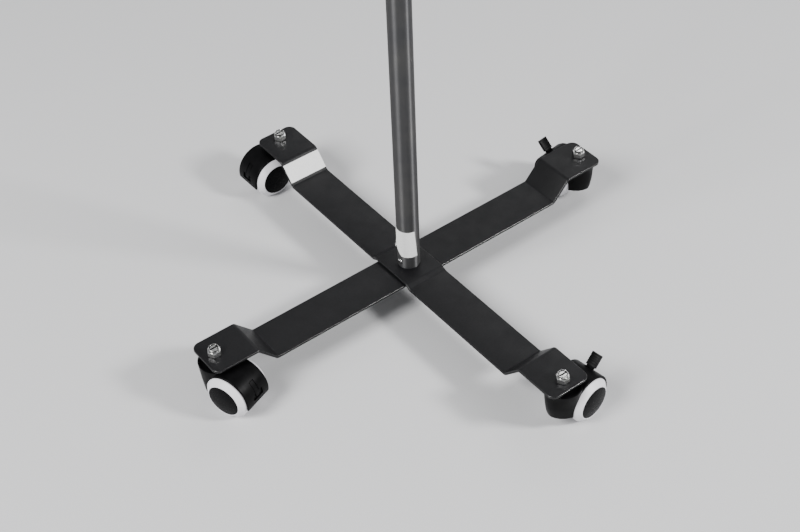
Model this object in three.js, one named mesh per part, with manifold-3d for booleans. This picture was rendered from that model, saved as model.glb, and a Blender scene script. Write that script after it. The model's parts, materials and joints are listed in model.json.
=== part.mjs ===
// Rolling background stand: two crossed flat bars on four twin-wheel casters, one telescopic
// upright, and a telescopic crossbar that a backdrop hangs from.
// Millimetres, +Z up. The origin is on the floor under the upright's axis, +X runs along the
// crossbar, and the four arms of the base point halfway between X and Y.
import * as THREE from 'three';
import { mergeVertices } from 'three/addons/utils/BufferGeometryUtils.js';
import Module from 'manifold-3d';

const wasm = await Module();
wasm.setup();

// ---------------------------------------------------------------- driving dimensions
const GAP = 0.3; // air between pieces that touch on the real object
const ROUND_SIDES = 20; // sides of a round tube
const WHEEL_SIDES = 28;
const SMALL_SIDES = 12; // screws, pins and their holes

// cross base: two 50 x 3 flat bars
const BAR_WIDTH = 50;
const BAR_THICK = 3;
const BAR_REACH = 264; // upright's axis to the end of an arm
const BAR_CORNER = 9; // plan radius of an arm's outer corners
const ARM_TOP = 38; // upper face of all four arms above the floor
const PLATE_TOP = 61; // upper face of the raised caster plates
const RISE_START = 191; // where an arm starts to rise to its plate
const RISE_END = 212;
const BEND_RADIUS = 5; // at the middle of the bar's thickness
const CROSSING_TOP = ARM_TOP + BAR_THICK + GAP; // the upper bar steps over the lower one
const STEP_INNER = 27;
const STEP_OUTER = 33;
const BOLT_RADIUS = 4; // M8
const BOLT_HOLE = 4.4;

// casters: 50 mm twin wheels under a hood, on an M8 stem
const STEM_REACH = 250; // upright's axis to a caster's stem
const TRAIL = 24; // stem axis to wheel axle
const WHEEL_RADIUS = 25;
const WHEEL_INNER = 5; // inner face of a wheel from the caster's middle plane
const TREAD_OUTER = 17.9; // where the tread ends and the white cone starts
const CONE_OUTER = 23.6;
const CAP_RADIUS = 18.2;
const CAP_SEAT = 21;
const CAP_CROWN = 25.2;
const HOOD_RADIUS = 27.8;
const HOOD_HALF_WIDTH = 17.6;
const HOOD_FLOOR = 20; // lower edge of the hood
const HOOD_RIM = 53.5;
const COLLAR_OFFSET = 1.5; // the collar sits a little behind the stem
const NOSE = [ // plans of the hood's front as superellipses, from its floor up to its round rim
  { z: HOOD_FLOOR - 3, reach: 17.2, half: 18.0, power: 1.6 },
  { z: 30, reach: 19.6, half: 18.4, power: 1.7 },
  { z: 39, reach: 19.8, half: 18.6, power: 1.85 },
  { z: 48, reach: 19.3, half: 19.3, power: 2 },
  { z: HOOD_RIM, reach: 19.7, half: 19.7, power: 2 },
];
const CUP_RADIUS = 17.6;
const CUP_FLOOR = 51.3;
const WHEEL_WELL = 25.8;
const WEB_HALF = 4.6; // half thickness of the web between the wheels
const STEM_FOOT = 40;
const STEM_FOOT_RADIUS = 5;
const AXLE_RADIUS = 3;
const AXLE_HALF_LENGTH = 20;
const NUT_ACROSS_FLATS = 13;
const NUT_HEIGHT = 9.5;

// brake pedal on two of the casters, in the caster's own trail and height axes
const PEDAL_PIVOT = { trail: 38, height: 38 };
const PEDAL_ANGLE = 45; // degrees above level, brake off
const PEDAL_ROOT = 10.6; // pivot to the start of the wide foot tab
const PEDAL_LENGTH = 25;
const PEDAL_HALF_WIDTH = 5.7;
const PEDAL_ARM_HALF = 4;
const PEDAL_THICK = 4;

// pedal's recess on the other two, an inverted T with a blank tongue in its stem: arcs about the
// axle, in degrees
const RECESS_STEM = { from: 14, to: 45.5, half: 3.2 };
const RECESS_FOOT = { from: 1, to: 16, half: 7.5 };
const RECESS_DEEP = 1.5;
const TONGUE = { from: 6, to: 44, half: 2.5 };

// upright and crossbar
const LOWER_TUBE = { outer: 12.5, inner: 11.3, top: 800 };
const UPPER_TUBE = { outer: 11, inner: 10, bottom: 340, top: 1060 };
const CROSSBAR = { outer: 11, inner: 10, half: 350, height: 1080 };
const EXTENSION = { outer: 9.5, inner: 8.5, start: 10, end: 450 };
const RUNNING_BORE = UPPER_TUBE.outer + GAP;
const KNOB_SCREW = 3; // M6
const KNOB_RADIUS = 13;
const KNOB_THICK = 12;

// paper labels
const LABEL_THICK = 0.3;
const TUBE_LABEL = { from: 190, to: 325, low: 17, high: 53 }; // degrees, and mm above the crossing

// ---------------------------------------------------------------- materials
const finish = (color, roughness, metalness) =>
  new THREE.MeshStandardMaterial({ color, roughness, metalness });
const POWDER_BLACK = finish(0x2c2c2f, 0.62, 0.2);
const DARK_CHROME = finish(0x6a6a6c, 0.22, 1.0);
const ZINC = finish(0xc9c9c6, 0.25, 1.0);
const HOOD_PLASTIC = finish(0x1b1b1d, 0.45, 0.0);
const CAP_PLASTIC = finish(0x232326, 0.28, 0.0);
const WHEEL_WHITE = finish(0xdedce2, 0.45, 0.0);
const KNOB_PLASTIC = finish(0x1d1d1f, 0.5, 0.0);
const PAPER = finish(0xf2f2f0, 0.85, 0.0);

// ---------------------------------------------------------------- solids
/** Turns a closed three.js geometry into a manifold solid. */
function solid(geometry) {
  const bare = geometry.clone();
  bare.deleteAttribute('normal');
  bare.deleteAttribute('uv');
  const merged = mergeVertices(bare);
  const index = merged.index.array;
  const triangles = [];
  for (let i = 0; i < index.length; i += 3) {
    const [a, b, c] = index.slice(i, i + 3);
    if (a !== b && b !== c && c !== a) triangles.push(a, b, c);
  }
  return new wasm.Manifold(new wasm.Mesh({
    numProp: 3,
    vertProperties: Float32Array.from(merged.attributes.position.array),
    triVerts: Uint32Array.from(triangles),
  }));
}

/** Turns a manifold solid back into a three.js geometry. */
function geometryOf(manifold) {
  const mesh = manifold.getMesh();
  const geometry = new THREE.BufferGeometry();
  geometry.setAttribute('position', new THREE.BufferAttribute(mesh.vertProperties, 3));
  geometry.setIndex(new THREE.BufferAttribute(mesh.triVerts, 1));
  geometry.computeVertexNormals();
  return geometry;
}

/** Joins the first list of geometries, then cuts the second list away. */
function shape(joined, removed = []) {
  let body = solid(joined[0]);
  for (const piece of joined.slice(1)) body = body.add(solid(piece));
  for (const piece of removed) body = body.subtract(solid(piece));
  return geometryOf(body);
}

/** Solid of revolution about Z from [radius, height] pairs, outer side going up. */
function turned(profile, sides = ROUND_SIDES) {
  const points = profile.map(([radius, height]) => new THREE.Vector2(radius, height));
  return new THREE.LatheGeometry(points, sides).rotateX(Math.PI / 2);
}

/** Cylinder about Z between two heights. */
function rod(radius, low, high, sides = ROUND_SIDES) {
  return new THREE.CylinderGeometry(radius, radius, high - low, sides)
    .rotateX(Math.PI / 2)
    .translate(0, 0, (low + high) / 2);
}

/** Open tube about Z between two heights. */
function tube(outer, inner, low, high) {
  return turned([[inner, low], [outer, low], [outer, high], [inner, high], [inner, low]]);
}

/** Extrudes an outline up from the floor. */
function extruded(outline, depth, curveSegments) {
  return new THREE.ExtrudeGeometry(outline, { depth, bevelEnabled: false, curveSegments });
}

/** Turns a shape that was made about Z so that it lies along +X, or along +Y. */
const alongX = (geometry) => geometry.rotateY(Math.PI / 2);
const alongY = (geometry) => geometry.rotateX(-Math.PI / 2);

/** Extrudes an outline of (x, z) points across Y, centred on the middle plane. */
function slab(outline, halfWidth) {
  return extruded(outline, 2 * halfWidth, 4)
    .rotateX(Math.PI / 2)
    .translate(0, halfWidth, 0);
}

function box(x0, x1, y0, y1, z0, z1) {
  return new THREE.BoxGeometry(x1 - x0, y1 - y0, z1 - z0)
    .translate((x0 + x1) / 2, (y0 + y1) / 2, (z0 + z1) / 2);
}

const radians = (degrees) => THREE.MathUtils.degToRad(degrees);

function polar(radius, degrees) {
  return new THREE.Vector2(radius * Math.cos(radians(degrees)), radius * Math.sin(radians(degrees)));
}

function node(name, geometry, material) {
  const mesh = new THREE.Mesh(geometry, material);
  mesh.name = name;
  return mesh;
}

// ---------------------------------------------------------------- cross base
/** Side outline of a bent strip: its upper face follows the corners, and bends are arcs. */
function bentStrip(corners) {
  const upper = [];
  const lower = [];
  const half = BAR_THICK / 2;
  const addPair = (point, normal) => {
    upper.push(point.clone().addScaledVector(normal, half));
    lower.push(point.clone().addScaledVector(normal, -half));
  };
  const leftOf = (direction) => new THREE.Vector2(-direction.y, direction.x);
  const middle = corners.map(([x, z]) => new THREE.Vector2(x, z - half));
  const last = middle.length - 1;
  const way = (i) => middle[i + 1].clone().sub(middle[i]).normalize();
  addPair(middle[0], leftOf(way(0)));
  for (let i = 1; i < last; i += 1) {
    const before = way(i - 1);
    const turn = Math.atan2(before.cross(way(i)), before.dot(way(i)));
    const side = Math.sign(turn);
    const setback = BEND_RADIUS * Math.tan(Math.abs(turn) / 2);
    const start = middle[i].clone().addScaledVector(before, -setback);
    const centre = start.clone().addScaledVector(leftOf(before), side * BEND_RADIUS);
    const steps = 3;
    for (let k = 0; k <= steps; k += 1) {
      const normal = leftOf(before).rotateAround(new THREE.Vector2(), (turn * k) / steps);
      addPair(centre.clone().addScaledVector(normal, -side * BEND_RADIUS), normal);
    }
  }
  addPair(middle[last], leftOf(way(last - 1)));
  return new THREE.Shape([...lower, ...upper.reverse()]);
}

/** Plan of a bar with its rounded corners, two stem holes and the centre hole. */
function barPlan() {
  const plan = new THREE.Shape();
  const x = BAR_REACH;
  const y = BAR_WIDTH / 2;
  const c = BAR_CORNER;
  plan.absarc(x - c, y - c, c, 0, Math.PI / 2);
  plan.absarc(-x + c, y - c, c, Math.PI / 2, Math.PI);
  plan.absarc(-x + c, -y + c, c, Math.PI, 1.5 * Math.PI);
  plan.absarc(x - c, -y + c, c, 1.5 * Math.PI, 2 * Math.PI);
  for (const centre of [-STEM_REACH, 0, STEM_REACH]) {
    const hole = new THREE.Path();
    hole.absarc(centre, 0, BOLT_HOLE, 0, 2 * Math.PI, true);
    plan.holes.push(hole);
  }
  return extruded(plan, 2 * PLATE_TOP, 5);
}

function bar(middleCorners) {
  const arm = [[RISE_START, ARM_TOP], [RISE_END, PLATE_TOP], [BAR_REACH + 5, PLATE_TOP]];
  const mirrored = arm.map(([x, z]) => [-x, z]).reverse();
  const side = slab(bentStrip([...mirrored, ...middleCorners, ...arm]), BAR_WIDTH);
  return geometryOf(solid(side).intersect(solid(barPlan())));
}

function lowerBar() {
  return bar([]);
}

function upperBar() {
  return bar([
    [-STEP_OUTER, ARM_TOP],
    [-STEP_INNER, CROSSING_TOP],
    [STEP_INNER, CROSSING_TOP],
    [STEP_OUTER, ARM_TOP],
  ]);
}

// ---------------------------------------------------------------- fixing at the crossing
const TUBE_FOOT = CROSSING_TOP + GAP;
const WASHER_TOP = ARM_TOP - BAR_THICK - GAP;
const WASHER_THICK = 1.6;
const WASHER_RADIUS = 8;
const PLUG_TOP = TUBE_FOOT + 33;
const BASE_BOLT = { head: 5.3, end: PLUG_TOP - 8 };
const FOOT_SCREW_RADIUS = 1.5; // M3
const FOOT_SCREW_HOLE = FOOT_SCREW_RADIUS + GAP;
const FOOT_SCREW_TIP = 7.5; // from the upright's axis
const FOOT_SCREWS = [
  { name: 'foot_screw_low', degrees: 230, height: CROSSING_TOP + 9 },
  { name: 'foot_screw_high', degrees: 189, height: CROSSING_TOP + 26 },
];

/** Moves a shape made along +X out to a foot screw's height and direction. */
function atFootScrew(geometry, screw) {
  return geometry.rotateZ(radians(screw.degrees)).translate(0, 0, screw.height);
}

/** Hexagon of an M8 nut or bolt head, about Z between two heights. */
function hexagon(low, high) {
  return rod(NUT_ACROSS_FLATS / Math.sqrt(3), low, high, 6);
}

/** Holes for the foot screws, from a distance inside the upright to well outside it. */
function footScrewHoles(inner) {
  const outer = LOWER_TUBE.outer + 5;
  return FOOT_SCREWS.map((screw) => (
    atFootScrew(alongX(rod(FOOT_SCREW_HOLE, inner, outer, SMALL_SIDES)), screw)
  ));
}

function baseBolt() {
  const headTop = WASHER_TOP - WASHER_THICK - GAP;
  const head = hexagon(headTop - BASE_BOLT.head, headTop);
  return shape([head, rod(BOLT_RADIUS, headTop - 1, BASE_BOLT.end, SMALL_SIDES)]);
}

function footPlug() {
  const plug = rod(LOWER_TUBE.inner - GAP, TUBE_FOOT, PLUG_TOP);
  const boltHole = rod(BOLT_RADIUS + GAP, TUBE_FOOT - 5, BASE_BOLT.end + 1, SMALL_SIDES);
  return shape([plug], [boltHole, ...footScrewHoles(FOOT_SCREW_TIP - GAP)]);
}

function footScrew(screw) {
  const seat = LOWER_TUBE.outer + GAP;
  const profile = [[0, 0], [3, 0], [3, 0.7], [2.2, 1.4], [0, 1.6]];
  const head = turned(profile, SMALL_SIDES).translate(0, 0, seat);
  const shank = rod(FOOT_SCREW_RADIUS, FOOT_SCREW_TIP, seat + 0.5, SMALL_SIDES);
  return atFootScrew(alongX(shape([head, shank])), screw);
}

function lowerTube() {
  const { outer, inner, top } = LOWER_TUBE;
  return shape([tube(outer, inner, TUBE_FOOT, top)], footScrewHoles(LOWER_TUBE.inner - 2));
}

/** Slab across the upright's skin on one side only, from an outline in the skin's own plane. */
function skinCutter(outline, degrees) {
  return slab(new THREE.Shape(outline.map(([x, z]) => new THREE.Vector2(x, z))), 20)
    .translate(0, -20, 0)
    .rotateZ(radians(degrees + 90));
}

/**
 * Paper label bent round the upright's foot. Its lower left corner is torn off and its right
 * edge leans.
 */
function tubeLabel() {
  const inner = LOWER_TUBE.outer + GAP;
  const from = radians(TUBE_LABEL.from);
  const to = radians(TUBE_LABEL.to);
  const plan = new THREE.Shape();
  plan.absarc(0, 0, inner + LABEL_THICK, from, to);
  plan.absarc(0, 0, inner, to, from, true);
  const height = TUBE_LABEL.high - TUBE_LABEL.low;
  const wrap = extruded(plan, height, 12);
  const torn = skinCutter([[-20, -2], [10, -2], [-4, 13], [-20, 13]], TUBE_LABEL.from + 30);
  const lean = skinCutter([[0, 0], [8, 0], [8, height + 1], [-3, height + 1]], TUBE_LABEL.to);
  return shape([wrap], [torn, lean]).translate(0, 0, CROSSING_TOP + TUBE_LABEL.low);
}

/** Flat label on the sloping face of one arm, made about the middle of that face. */
function armLabel() {
  const halfLength = 11.5;
  const halfWidth = BAR_WIDTH / 2 - 0.5;
  const slope = Math.atan2(PLATE_TOP - ARM_TOP, RISE_END - RISE_START);
  const foot = new THREE.Vector2(RISE_START, ARM_TOP);
  const centre = foot.lerp(new THREE.Vector2(RISE_END, PLATE_TOP), 0.47);
  const face = (BAR_THICK / 2) * (1 - Math.cos(slope)) + GAP;
  return box(-halfLength, halfLength, -halfWidth, halfWidth, face, face + LABEL_THICK)
    .rotateY(-slope)
    .translate(centre.x, 0, centre.y);
}

// ---------------------------------------------------------------- casters
/** Cylinder across the caster on the axle's line, between two places along Y. */
function onAxle(radius, from, to, sides = WHEEL_SIDES) {
  return alongY(rod(radius, from, to, sides)).translate(TRAIL, 0, WHEEL_RADIUS);
}

function casterStem() {
  const plateUnder = PLATE_TOP - BAR_THICK;
  const end = PLATE_TOP + GAP + NUT_HEIGHT - 0.2;
  const foot = rod(STEM_FOOT_RADIUS, STEM_FOOT, CUP_FLOOR + 1, SMALL_SIDES);
  const shoulder = rod(8, CUP_FLOOR + GAP, plateUnder - GAP, 6);
  return shape([foot, shoulder, rod(BOLT_RADIUS, plateUnder - 2, end, SMALL_SIDES)]);
}

function lockNut() {
  const low = PLATE_TOP + GAP;
  const crimp = NUT_HEIGHT - 0.9;
  const profile = [[0, 5], [5.8, 5], [5.8, crimp], [5, NUT_HEIGHT], [0, NUT_HEIGHT]];
  const collar = turned(profile, SMALL_SIDES).translate(0, 0, low);
  const bore = rod(BOLT_RADIUS + GAP, low - 5, low + 20, SMALL_SIDES);
  return shape([hexagon(low, low + 6), collar], [bore]);
}

/** Part of a ring about the axle, for cutting slots in the back of the hood. */
function arcBlock(inner, outer, fromDegrees, toDegrees, halfWidth) {
  const outline = new THREE.Shape();
  outline.absarc(TRAIL, WHEEL_RADIUS, outer, radians(fromDegrees), radians(toDegrees));
  outline.absarc(TRAIL, WHEEL_RADIUS, inner, radians(toDegrees), radians(fromDegrees), true);
  return slab(outline, halfWidth);
}

/** Room for the pedal's lever, as a wedge that opens away from its pivot. */
function pedalSlot() {
  const pivot = new THREE.Vector2(PEDAL_PIVOT.trail, PEDAL_PIVOT.height);
  const round = 4.5; // round the pivot's barrel
  const beyond = 30; // past the hood's skin
  const corners = [[round, 200], [round, 290], [beyond, 8], [beyond, 62], [round, 130]];
  const outline = corners.map(([far, degrees]) => polar(far, degrees).add(pivot));
  return slab(new THREE.Shape(outline), PEDAL_ARM_HALF + 1);
}

/** Recess for a pedal on a hood with no brake, round the blank tongue that fills its stem. */
function pedalRecess() {
  const inner = HOOD_RADIUS - RECESS_DEEP;
  const outer = HOOD_RADIUS + 2;
  const recess = [RECESS_STEM, RECESS_FOOT].map(({ from, to, half }) => (
    arcBlock(inner, outer, from, to, half)
  ));
  return shape(recess, [arcBlock(inner - 1, outer + 1, TONGUE.from, TONGUE.to, TONGUE.half)]);
}

/** Front of the hood: turned to unit radius, then each ring is drawn out to its own plan. */
function nose() {
  const geometry = turned([[0, NOSE[0].z], ...NOSE.map(({ z }) => [1, z]), [0, HOOD_RIM]]);
  const places = geometry.attributes.position;
  const drawn = (value, size, power) => size * Math.sign(value) * Math.abs(value) ** (2 / power);
  for (let i = 0; i < places.count; i += 1) {
    const { reach, half, power } = NOSE.find(({ z }) => Math.abs(z - places.getZ(i)) < 0.01);
    places.setX(i, drawn(places.getX(i), reach, power));
    places.setY(i, drawn(places.getY(i), half, power));
  }
  return geometry.translate(COLLAR_OFFSET, 0, 0);
}

function hood(braked) {
  const drum = onAxle(HOOD_RADIUS, -HOOD_HALF_WIDTH, HOOD_HALF_WIDTH);
  const beyond = 40; // past the hood on every side
  return shape([drum, nose()], [
    onAxle(WHEEL_WELL, WEB_HALF, beyond),
    onAxle(WHEEL_WELL, -beyond, -WEB_HALF),
    box(-beyond, 2 * beyond, -beyond, beyond, -beyond, HOOD_FLOOR),
    rod(CUP_RADIUS, CUP_FLOOR, HOOD_RIM + 5).translate(COLLAR_OFFSET, 0, 0),
    rod(STEM_FOOT_RADIUS + GAP, STEM_FOOT - GAP, HOOD_RIM, SMALL_SIDES),
    onAxle(AXLE_RADIUS + GAP, -beyond, beyond, SMALL_SIDES),
    braked ? pedalSlot() : pedalRecess(),
  ]);
}

/** Wheel with its hub and white cone, made about Z with its outer side up. */
function wheel() {
  const bore = AXLE_RADIUS + GAP;
  return turned([
    [bore, WHEEL_INNER],
    [WHEEL_RADIUS - 1, WHEEL_INNER],
    [WHEEL_RADIUS, WHEEL_INNER + 1],
    [WHEEL_RADIUS, TREAD_OUTER],
    [CAP_RADIUS + 0.8, CONE_OUTER],
    [CAP_RADIUS + 0.4, CONE_OUTER],
    [CAP_RADIUS + 0.4, CAP_SEAT],
    [bore, CAP_SEAT],
    [bore, WHEEL_INNER],
  ], WHEEL_SIDES);
}

/** Domed hub cap, made about Z with its crown up. */
function hubCap() {
  return turned([
    [0, CAP_SEAT + GAP],
    [CAP_RADIUS, CAP_SEAT + GAP],
    [CAP_RADIUS, CONE_OUTER],
    [CAP_RADIUS * 0.7, CAP_CROWN - 0.4],
    [0, CAP_CROWN],
  ]);
}

/** Brake lever: a pivot barrel, an arm between the wheels and a wide foot tab. */
function pedal() {
  const half = PEDAL_THICK / 2;
  const barrel = alongY(rod(3, -PEDAL_ARM_HALF, PEDAL_ARM_HALF, SMALL_SIDES));
  const arm = box(0, PEDAL_ROOT + 1, -PEDAL_ARM_HALF, PEDAL_ARM_HALF, -half, half);
  const tab = box(PEDAL_ROOT, PEDAL_LENGTH, -PEDAL_HALF_WIDTH, PEDAL_HALF_WIDTH, -half, half);
  for (const piece of [arm, tab]) piece.rotateY(-radians(PEDAL_ANGLE));
  return shape([barrel, arm, tab]).translate(PEDAL_PIVOT.trail, 0, PEDAL_PIVOT.height);
}

const CASTERS = [
  { name: 'front_left', arm: 225, trail: 335, braked: false },
  { name: 'front_right', arm: 315, trail: 53, braked: true },
  { name: 'rear_left', arm: 135, trail: 226, braked: false },
  { name: 'rear_right', arm: 45, trail: 143, braked: true },
];
const stemShape = casterStem();
const nutShape = lockNut();
const hoodShapes = { true: hood(true), false: hood(false) };
const axleShape = onAxle(AXLE_RADIUS, -AXLE_HALF_LENGTH, AXLE_HALF_LENGTH, SMALL_SIDES);
const wheelShape = wheel();
const capShape = hubCap();
const pedalShape = pedal();

/** One caster about its stem, trailing along +X of its own group. */
function caster({ name, arm, trail, braked }) {
  const group = new THREE.Group();
  const reach = polar(STEM_REACH, arm);
  group.position.set(reach.x, reach.y, 0);
  group.rotation.z = radians(trail);
  group.add(node(`${name}_stem`, stemShape, ZINC));
  group.add(node(`${name}_lock_nut`, nutShape, ZINC));
  group.add(node(`${name}_hood`, hoodShapes[braked], HOOD_PLASTIC));
  group.add(node(`${name}_axle`, axleShape, ZINC));
  for (const [side, turn] of [['a', -Math.PI / 2], ['b', Math.PI / 2]]) {
    const spinning = new THREE.Group();
    spinning.position.set(TRAIL, 0, WHEEL_RADIUS);
    spinning.rotation.x = turn;
    spinning.add(node(`${name}_wheel_${side}`, wheelShape, WHEEL_WHITE));
    spinning.add(node(`${name}_cap_${side}`, capShape, CAP_PLASTIC));
    group.add(spinning);
  }
  if (braked) group.add(node(`${name}_pedal`, pedalShape, HOOD_PLASTIC));
  return group;
}

// ---------------------------------------------------------------- upright and crossbar
const BOSS_RADIUS = 7;
const BOSS_REACH = 9; // the boss's face beyond its collar

/** Boss and screw hole on +X at a height on a collar of the given radius. */
function screwBoss(collarRadius, height) {
  const face = collarRadius + BOSS_REACH;
  const boss = alongX(rod(BOSS_RADIUS, 5, face, SMALL_SIDES));
  const hole = alongX(rod(KNOB_SCREW + GAP, 5, face + 5, SMALL_SIDES));
  return [boss.translate(0, 0, height), hole.translate(0, 0, height)];
}

/** Sleeve about Z that steps from a wide bore to a narrow one, with a screw boss on +X. */
function clampCollar({ low, step, high }, wide, narrow) {
  const [boss, hole] = screwBoss(narrow.outer, (step + high) / 2);
  const sleeve = turned([
    [0, low],
    [wide.outer, low],
    [wide.outer, step - 2],
    [narrow.outer, step + 2],
    [narrow.outer, high - 1],
    [narrow.outer - 1, high],
    [0, high],
  ]);
  return shape([sleeve, boss], [
    rod(wide.bore, low - 5, step + GAP),
    rod(narrow.bore, low - 5, high + 5),
    hole,
  ]);
}

/** Lobed clamp knob for a collar of the given radius; its screw lies along +X up to the tip. */
function clampKnob(tip, collarRadius) {
  const seat = collarRadius + BOSS_REACH + GAP;
  const lobes = 5;
  const lobeDepth = 1.5;
  const sides = 6 * lobes;
  const outline = new THREE.Shape();
  outline.setFromPoints(Array.from({ length: sides }, (_, i) => {
    const degrees = (360 * i) / sides;
    return polar(KNOB_RADIUS - lobeDepth + lobeDepth * Math.cos(radians(lobes * degrees)), degrees);
  }));
  const grip = extruded(outline, KNOB_THICK, 1).translate(0, 0, seat + 3);
  const neck = rod(6, seat, seat + 4, SMALL_SIDES);
  return alongX(shape([grip, neck, rod(KNOB_SCREW, tip, seat + 1, SMALL_SIDES)]));
}

const MAST_COLLAR = { low: LOWER_TUBE.top - 36, step: LOWER_TUBE.top, high: LOWER_TUBE.top + 30 };
const MAST_COLLAR_OUTER = { wide: 16.5, narrow: 15 };

function mastCollar() {
  return clampCollar(
    MAST_COLLAR,
    { outer: MAST_COLLAR_OUTER.wide, bore: LOWER_TUBE.outer + GAP },
    { outer: MAST_COLLAR_OUTER.narrow, bore: RUNNING_BORE },
  );
}

/** Clamp knob on one of the upright's collars. */
function mastKnob(height) {
  return clampKnob(RUNNING_BORE, MAST_COLLAR_OUTER.narrow).translate(0, 0, height);
}

const TEE = { outer: 15, low: UPPER_TUBE.top - 36, half: 36, knobHeight: UPPER_TUBE.top - 20 };
const CROSSBAR_SCREW = 2; // radius of its shank

function teeHead() {
  const across = alongX(rod(TEE.outer, -TEE.half, TEE.half)).translate(0, 0, CROSSBAR.height);
  const [boss, hole] = screwBoss(TEE.outer, TEE.knobHeight);
  return shape([rod(TEE.outer, TEE.low, CROSSBAR.height), across, boss], [
    rod(RUNNING_BORE, TEE.low - 5, UPPER_TUBE.top + GAP),
    alongX(rod(RUNNING_BORE, -TEE.half - 5, TEE.half + 5)).translate(0, 0, CROSSBAR.height),
    hole,
    crossbarScrewHole(),
  ]);
}

/** Hole down through the top of the tee and the crossbar's upper wall. */
function crossbarScrewHole() {
  const { height, outer } = CROSSBAR;
  return rod(CROSSBAR_SCREW + GAP, height + 5, height + outer + 10, SMALL_SIDES);
}

function crossbarTube() {
  const { outer, inner, half, height } = CROSSBAR;
  const rail = alongX(tube(outer, inner, -half, half)).translate(0, 0, height);
  return shape([rail], [crossbarScrewHole()]);
}

function crossbarScrew() {
  const seat = CROSSBAR.height + TEE.outer + GAP;
  const tip = CROSSBAR.height + CROSSBAR.inner - 2;
  const profile = [[0, 0], [4, 0], [4, 0.8], [3, 1.7], [0, 2]];
  const head = turned(profile, SMALL_SIDES).translate(0, 0, seat);
  return shape([head, rod(CROSSBAR_SCREW, tip, seat + 0.5, SMALL_SIDES)]);
}

/** The pieces at the right end of the crossbar; the left end is the same, turned about Z. */
function crossbarEnd(side) {
  const group = new THREE.Group();
  group.position.z = CROSSBAR.height;
  group.rotation.z = side === 'left' ? Math.PI : 0;
  const span = { low: CROSSBAR.half - 26, step: CROSSBAR.half, high: CROSSBAR.half + 28 };
  const wide = { outer: 15, bore: RUNNING_BORE };
  const narrow = { outer: 13.5, bore: EXTENSION.outer + GAP };
  // The collar's screw boss is made on +X; it ends up pointing to the rear on both sides.
  const towardRear = side === 'left' ? -Math.PI / 2 : Math.PI / 2;
  const collar = alongX(clampCollar(span, wide, narrow).rotateZ(towardRear));
  const knob = clampKnob(narrow.bore, narrow.outer)
    .rotateZ(towardRear)
    .translate((span.step + span.high) / 2, 0, 0);
  const rail = alongX(tube(EXTENSION.outer, EXTENSION.inner, EXTENSION.start, EXTENSION.end));
  const plug = EXTENSION.inner - GAP;
  const flange = EXTENSION.outer + 1;
  const cap = alongX(turned([
    [0, -12],
    [plug, -12],
    [plug, GAP],
    [flange, GAP],
    [flange, 3],
    [flange - 1.5, 4.5],
    [0, 5],
  ])).translate(EXTENSION.end, 0, 0);
  group.add(node(`end_collar_${side}`, collar, KNOB_PLASTIC));
  group.add(node(`end_knob_${side}`, knob, KNOB_PLASTIC));
  group.add(node(`extension_${side}`, rail, DARK_CHROME));
  group.add(node(`end_cap_${side}`, cap, KNOB_PLASTIC));
  return group;
}

// ---------------------------------------------------------------- assembly
const stand = new THREE.Group();

const lowerBarMesh = node('lower_bar', lowerBar(), POWDER_BLACK);
lowerBarMesh.rotation.z = radians(45);
const upperBarMesh = node('upper_bar', upperBar(), POWDER_BLACK);
upperBarMesh.rotation.z = radians(135);
const armLabelMesh = node('arm_label', armLabel(), PAPER);
armLabelMesh.rotation.z = radians(135);
stand.add(lowerBarMesh, upperBarMesh, armLabelMesh);

const washer = tube(WASHER_RADIUS, BOLT_RADIUS + GAP, WASHER_TOP - WASHER_THICK, WASHER_TOP);
stand.add(node('base_bolt', baseBolt(), ZINC));
stand.add(node('base_washer', washer, ZINC));
stand.add(node('foot_plug', footPlug(), ZINC));
for (const screw of FOOT_SCREWS) stand.add(node(screw.name, footScrew(screw), ZINC));
stand.add(node('lower_tube', lowerTube(), DARK_CHROME));
stand.add(node('tube_label', tubeLabel(), PAPER));

for (const place of CASTERS) stand.add(caster(place));

const upperTube = tube(UPPER_TUBE.outer, UPPER_TUBE.inner, UPPER_TUBE.bottom, UPPER_TUBE.top);
const mastKnobHeight = (MAST_COLLAR.step + MAST_COLLAR.high) / 2;
stand.add(node('mast_collar', mastCollar(), KNOB_PLASTIC));
stand.add(node('mast_knob', mastKnob(mastKnobHeight), KNOB_PLASTIC));
stand.add(node('upper_tube', upperTube, DARK_CHROME));
stand.add(node('tee_head', teeHead(), KNOB_PLASTIC));
stand.add(node('head_knob', mastKnob(TEE.knobHeight), KNOB_PLASTIC));
stand.add(node('crossbar', crossbarTube(), DARK_CHROME));
stand.add(node('crossbar_screw', crossbarScrew(), ZINC));
for (const side of ['left', 'right']) stand.add(crossbarEnd(side));

export default stand;
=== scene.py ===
"""Rolling background stand: the looks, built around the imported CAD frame.

Shapes are made in millimetres about their own axis and turned into metres when a piece is made.
"""

import json
from math import atan2, ceil, copysign, cos, degrees, pi, radians, sin, tan

import bmesh
import bpy
from mathutils import Matrix, Vector

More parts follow.
